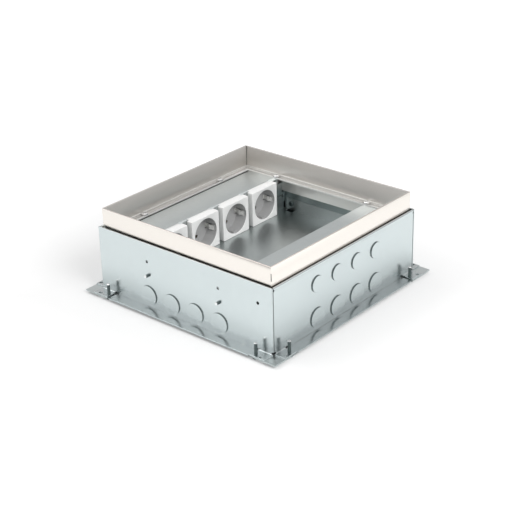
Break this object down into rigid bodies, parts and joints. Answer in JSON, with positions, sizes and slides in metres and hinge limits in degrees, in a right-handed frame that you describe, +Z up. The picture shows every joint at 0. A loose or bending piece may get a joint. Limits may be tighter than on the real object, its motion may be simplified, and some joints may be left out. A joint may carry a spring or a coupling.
{
  "type": "floor socket box",
  "caption": "Sheet-steel floor box with a row of earthed sockets, a blank carrier opposite, and a height-adjustable stainless collar with a lid ledge.",
  "frame": {"origin": "centre of the box on the floor, under the levelling feet", "axes": "+Z up; Y along the socket row, which stands on the -X side and faces +X"},
  "size_m": [0.311, 0.311, 0.115],
  "materials": {
    "galvanised": "hot-dip galvanised sheet, satin with fine spangle",
    "stainless": "stainless sheet with a fine ground finish",
    "zinc": "bright zinc-plated steel",
    "white_plastic": "semi-gloss moulded plastic",
    "grey_plastic": "matt moulded plastic",
    "spring_steel": "nickel-plated spring steel",
    "brass": "plain brass"
  },
  "bodies": {
    "box": {"base_plate": "galvanised", "wall_front": "galvanised", "wall_back": "galvanised", "wall_left": "galvanised", "wall_right": "galvanised", "tray": "galvanised", "tray_screws": "zinc", "carrier_left": "galvanised", "carrier_right": "galvanised", "carrier_rivets": "zinc", "brackets": "galvanised", "levelling_nuts": "zinc", "earth_clips": "spring_steel", "contact_sleeves": "brass", "terminal_screws": "zinc", "earth_stud": "zinc", "earth_nut": "zinc", "socket_face_1": "white_plastic", "socket_face_2": "white_plastic", "socket_face_3": "white_plastic", "socket_face_4": "white_plastic", "socket_housing_1": "grey_plastic", "socket_housing_2": "grey_plastic", "socket_housing_3": "grey_plastic", "socket_housing_4": "grey_plastic"},
    "collar_frame": {"collar": "stainless", "ledge": "stainless"},
    "lift_screw_1": {"lift_screw_1": "zinc"},
    "lift_screw_2": {"lift_screw_2": "zinc"},
    "lift_screw_3": {"lift_screw_3": "zinc"},
    "lift_screw_4": {"lift_screw_4": "zinc"},
    "lift_screw_5": {"lift_screw_5": "zinc"},
    "lift_screw_6": {"lift_screw_6": "zinc"},
    "lift_screw_7": {"lift_screw_7": "zinc"},
    "lift_screw_8": {"lift_screw_8": "zinc"},
    "levelling_screw_1": {"levelling_screw_1": "zinc"},
    "levelling_screw_2": {"levelling_screw_2": "zinc"},
    "levelling_screw_3": {"levelling_screw_3": "zinc"},
    "levelling_screw_4": {"levelling_screw_4": "zinc"},
    "levelling_screw_5": {"levelling_screw_5": "zinc"},
    "levelling_screw_6": {"levelling_screw_6": "zinc"},
    "levelling_screw_7": {"levelling_screw_7": "zinc"},
    "levelling_screw_8": {"levelling_screw_8": "zinc"}
  },
  "joints": [
    {"name": "collar_lift", "type": "slide", "parent": "box", "child": "collar_frame", "axis": [0, 0, 1], "range_m": [0, 0.02]},
    {"name": "lift_screw_1_turn", "type": "hinge", "parent": "collar_frame", "child": "lift_screw_1", "pos_m": [-0.12735, -0.0716, 0.0865], "axis": [0, 0, 1], "range_deg": [0, 9001]},
    {"name": "lift_screw_2_turn", "type": "hinge", "parent": "collar_frame", "child": "lift_screw_2", "pos_m": [-0.12735, 0.0716, 0.0865], "axis": [0, 0, 1], "range_deg": [0, 9001]},
    {"name": "lift_screw_3_turn", "type": "hinge", "parent": "collar_frame", "child": "lift_screw_3", "pos_m": [0.12735, -0.0716, 0.0865], "axis": [0, 0, 1], "range_deg": [0, 9001]},
    {"name": "lift_screw_4_turn", "type": "hinge", "parent": "collar_frame", "child": "lift_screw_4", "pos_m": [0.12735, 0.0716, 0.0865], "axis": [0, 0, 1], "range_deg": [0, 9001]},
    {"name": "lift_screw_5_turn", "type": "hinge", "parent": "collar_frame", "child": "lift_screw_5", "pos_m": [-0.075, -0.12735, 0.0865], "axis": [0, 0, 1], "range_deg": [0, 9001]},
    {"name": "lift_screw_6_turn", "type": "hinge", "parent": "collar_frame", "child": "lift_screw_6", "pos_m": [0.075, -0.12735, 0.0865], "axis": [0, 0, 1], "range_deg": [0, 9001]},
    {"name": "lift_screw_7_turn", "type": "hinge", "parent": "collar_frame", "child": "lift_screw_7", "pos_m": [-0.075, 0.12735, 0.0865], "axis": [0, 0, 1], "range_deg": [0, 9001]},
    {"name": "lift_screw_8_turn", "type": "hinge", "parent": "collar_frame", "child": "lift_screw_8", "pos_m": [0.075, 0.12735, 0.0865], "axis": [0, 0, 1], "range_deg": [0, 9001]},
    {"name": "levelling_screw_1_travel", "type": "slide", "parent": "box", "child": "levelling_screw_1", "axis": [0, 0, 1], "range_m": [-0.008, 0]},
    {"name": "levelling_screw_2_travel", "type": "slide", "parent": "box", "child": "levelling_screw_2", "axis": [0, 0, 1], "range_m": [-0.008, 0]},
    {"name": "levelling_screw_3_travel", "type": "slide", "parent": "box", "child": "levelling_screw_3", "axis": [0, 0, 1], "range_m": [-0.008, 0]},
    {"name": "levelling_screw_4_travel", "type": "slide", "parent": "box", "child": "levelling_screw_4", "axis": [0, 0, 1], "range_m": [-0.008, 0]},
    {"name": "levelling_screw_5_travel", "type": "slide", "parent": "box", "child": "levelling_screw_5", "axis": [0, 0, 1], "range_m": [-0.008, 0]},
    {"name": "levelling_screw_6_travel", "type": "slide", "parent": "box", "child": "levelling_screw_6", "axis": [0, 0, 1], "range_m": [-0.008, 0]},
    {"name": "levelling_screw_7_travel", "type": "slide", "parent": "box", "child": "levelling_screw_7", "axis": [0, 0, 1], "range_m": [-0.008, 0]},
    {"name": "levelling_screw_8_travel", "type": "slide", "parent": "box", "child": "levelling_screw_8", "axis": [0, 0, 1], "range_m": [-0.008, 0]}
  ],
  "couplings": [
    {"joint": "lift_screw_1_turn", "follows": "collar_lift", "rad_per_m": 7854},
    {"joint": "lift_screw_2_turn", "follows": "collar_lift", "rad_per_m": 7854},
    {"joint": "lift_screw_3_turn", "follows": "collar_lift", "rad_per_m": 7854},
    {"joint": "lift_screw_4_turn", "follows": "collar_lift", "rad_per_m": 7854},
    {"joint": "lift_screw_5_turn", "follows": "collar_lift", "rad_per_m": 7854},
    {"joint": "lift_screw_6_turn", "follows": "collar_lift", "rad_per_m": 7854},
    {"joint": "lift_screw_7_turn", "follows": "collar_lift", "rad_per_m": 7854},
    {"joint": "lift_screw_8_turn", "follows": "collar_lift", "rad_per_m": 7854}
  ]
}
